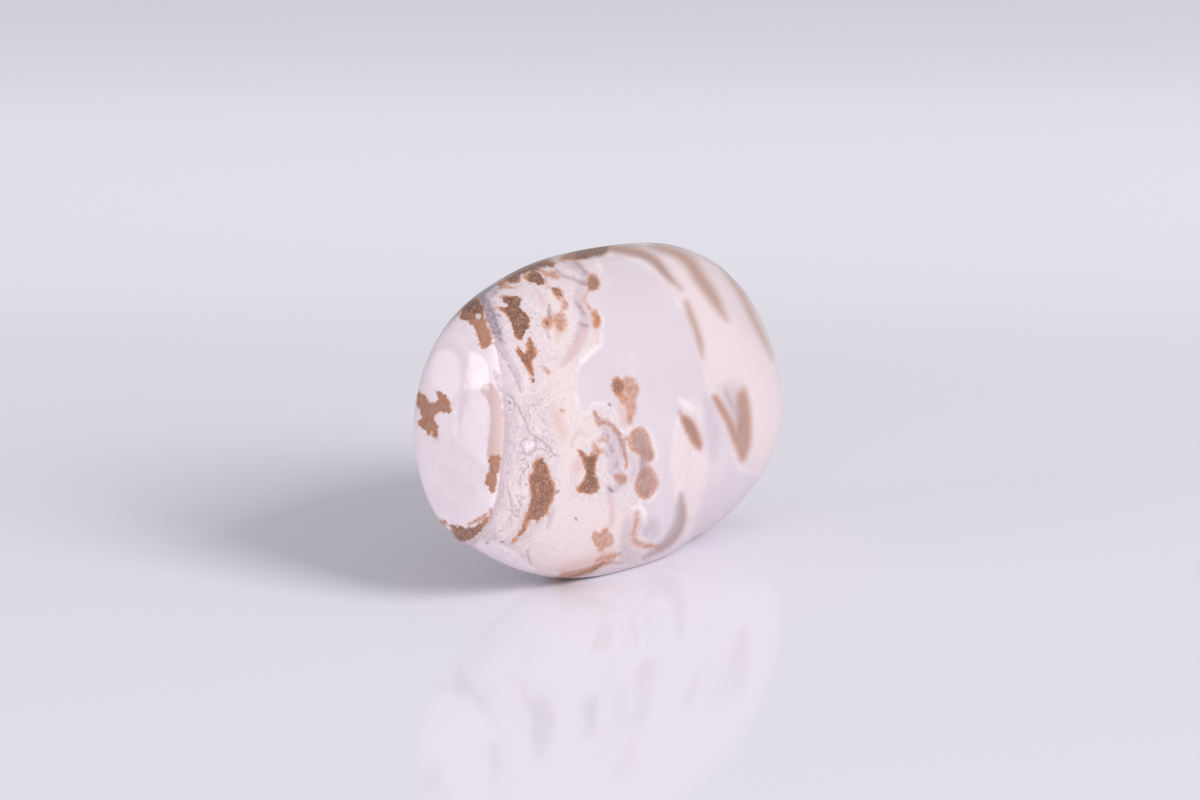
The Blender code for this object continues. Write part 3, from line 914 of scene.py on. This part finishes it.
def brown_patch(s):
    """What a brown patch is made of: an uneven rusty lip round a grainy heart."""
    deep = (s.tree.depth("deep") + 0.08 + s.fray * 0.6).above(0.0, blur=0.3 + s.soft * 0.6)
    patch = Coat(s.tree, LIP_TONE)
    patch.lay(BROWN_TONE, s.heart)
    patch.lay(DEEP_TONE, deep, strength=0.85)
    patch.lay(RUST_TONE, s.heart * s.ragged.above(0.5, blur=0.3) * s.crisp, strength=0.36)
    patch.lay(DARK_BROWN, s.heart * s.blotch.above(0.5, blur=0.14) * s.crisp, strength=0.5)
    patch.lay(CRUMB_TONE, s.heart * s.sparkle.above(0.58, blur=0.12) * s.crisp, strength=0.42)
    # Painted light: on the facet the brown hearts turn, mottled, to a lighter brown that makes up for the
    # facet's weaker light
    facet_painted_light = 0.5 + s.ragged.above(0.44, blur=0.24) * 0.4 - deep * 0.5
    patch.lay(FACET_BROWN_PAINTED_LIGHT, s.face * s.heart, strength=facet_painted_light)
    patch.lay(VEILED_BROWN, s.soft * s.heart, strength=1.6 - deep * 1.3)
    patch.lay(DUSK_TONE, s.dusk * s.soft, strength=1.7)
    return patch


def polished_stone():
    """Pale lilac carbonate in layers, with brown and lavender growths, polished by tumbling."""
    t = Tree("polished_rhodochrosite")
    s = Stone(t)
    stone = layered_ground(s)
    lay_contours(s, stone)
    lay_veins(s, stone)
    lay_pods(s, stone)
    lay_threads(s, stone)
    stone.lay(brown_patch(s).colour, s.lip)
    inclusion = (t.depth("pale") + 0.02).above(0.06, blur=0.1) * s.lip
    stone.lay(CHALK_TONE, inclusion, strength=0.9)

    roughness = POLISH + s.stirred(blotch=0.04) + s.heart * DULLER_PATCH
    relief = s.blotch * s.heart * PATCH_RELIEF + s.ragged * GRAIN_RELIEF
    bump = t.add("ShaderNodeBump", None, {
        "Strength": RELIEF_STRENGTH, "Distance": RELIEF_DEPTH, "Height": relief})
    surface = t.add("ShaderNodeBsdfPrincipled", None, {
        "Base Color": stone.colour, "Roughness": roughness, "Normal": bump, "IOR": STONE_IOR})
    t.add("ShaderNodeOutputMaterial", None, {"Surface": surface})
    return t.material


# ---- The stage: a plain pale table top, a pale room and soft lights ----
FLOOR_SIZE = 6.0
FLOOR_TONE = paint(240, 237, 247)
FLOOR_ROUGHNESS, FLOOR_IOR = 0.09, 1.40
ROOM_TONE, ROOM_STRENGTH = paint(240, 239, 244), 0.53
NEAREST_SEEN, FARTHEST_SEEN = 0.01, 20.0
MID_PEBBLE = Vector((0, 0, 0.011))

# Lights that look at the pebble, in degrees, metres and watts. The polish mirrors only some of them.
LIGHTS = {
    "key": dict(turn=-84, rise=32, away=2.2, size=(1.0, 1.0), power=39.0, mirrored=False),
    "fill": dict(turn=200, rise=4, away=1.1, size=(0.8, 0.14), power=4.4, mirrored=False),
    "window": dict(turn=153.8, rise=13, away=1.1, size=(0.17, 0.40), power=0.27),
    "window_top": dict(turn=153.7, rise=25.0, away=1.05, size=(0.27, 0.15), power=0.50, roll=22),
    "backdrop": dict(turn=40.25, rise=11.1, away=2.04, size=(1.2, 0.12), power=0.15),
}


def make_floor():
    """A plain, pale, glossy table top."""
    mesh = bpy.data.meshes.new("floor")
    half = FLOOR_SIZE / 2
    corners = [(-half, -half, 0), (half, -half, 0), (half, half, 0), (-half, half, 0)]
    mesh.from_pydata(corners, [], [(0, 1, 2, 3)])
    floor = bpy.data.objects.new("floor", mesh)
    bpy.context.scene.collection.objects.link(floor)
    t = Tree("pale_table")
    surface = t.add("ShaderNodeBsdfPrincipled", None, {
        "Base Color": FLOOR_TONE, "Roughness": FLOOR_ROUGHNESS, "IOR": FLOOR_IOR})
    t.add("ShaderNodeOutputMaterial", None, {"Surface": surface})
    mesh.materials.append(t.material)


def make_light(name, turn, rise, away, size, power, roll=0.0, mirrored=True):
    """A soft rectangular light that looks at the pebble, turned from +X, raised and rolled round its aim."""
    lamp = bpy.data.lights.new(name, "AREA")
    lamp.shape, lamp.size, lamp.size_y = "RECTANGLE", size[0], size[1]
    lamp.energy = power
    light = bpy.data.objects.new(name, lamp)
    turn, rise = math.radians(turn), math.radians(rise)
    place = Vector((math.cos(turn) * math.cos(rise), math.sin(turn) * math.cos(rise), math.sin(rise))) * away
    aim = (MID_PEBBLE - place).to_track_quat("-Z", "Y")
    light.location = place
    light.rotation_euler = (aim @ Quaternion((0, 0, 1), math.radians(roll))).to_euler()
    light.visible_glossy = mirrored
    bpy.context.scene.collection.objects.link(light)


def make_world():
    """The pale room round the table top."""
    world = bpy.data.worlds.new("pale_room")
    world.use_nodes = True
    background = world.node_tree.nodes["Background"]
    background.inputs["Color"].default_value = ROOM_TONE
    background.inputs["Strength"].default_value = ROOM_STRENGTH
    bpy.context.scene.world = world


def make_camera():
    """The camera, at the place that the sight frame is read from."""
    data = bpy.data.cameras.new("camera")
    data.lens, data.sensor_width, data.sensor_fit = LENS, SENSOR, "HORIZONTAL"
    data.clip_start, data.clip_end = NEAREST_SEEN, FARTHEST_SEEN
    camera = bpy.data.objects.new("camera", data)
    camera.location = Vector(CAMERA_PLACE) * MM
    camera.rotation_euler = (math.pi / 2 - CAMERA_DROP, 0.0, -CAMERA_TURN)
    bpy.context.scene.collection.objects.link(camera)
    bpy.context.scene.camera = camera


pebble = make_pebble()
pebble.data.materials.append(polished_stone())
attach(pebble, "root")
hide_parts("stone")

make_floor()
make_world()
for name, light in LIGHTS.items():
    make_light(name, **light)
make_camera()
bpy.context.scene.view_settings.view_transform = "Standard"
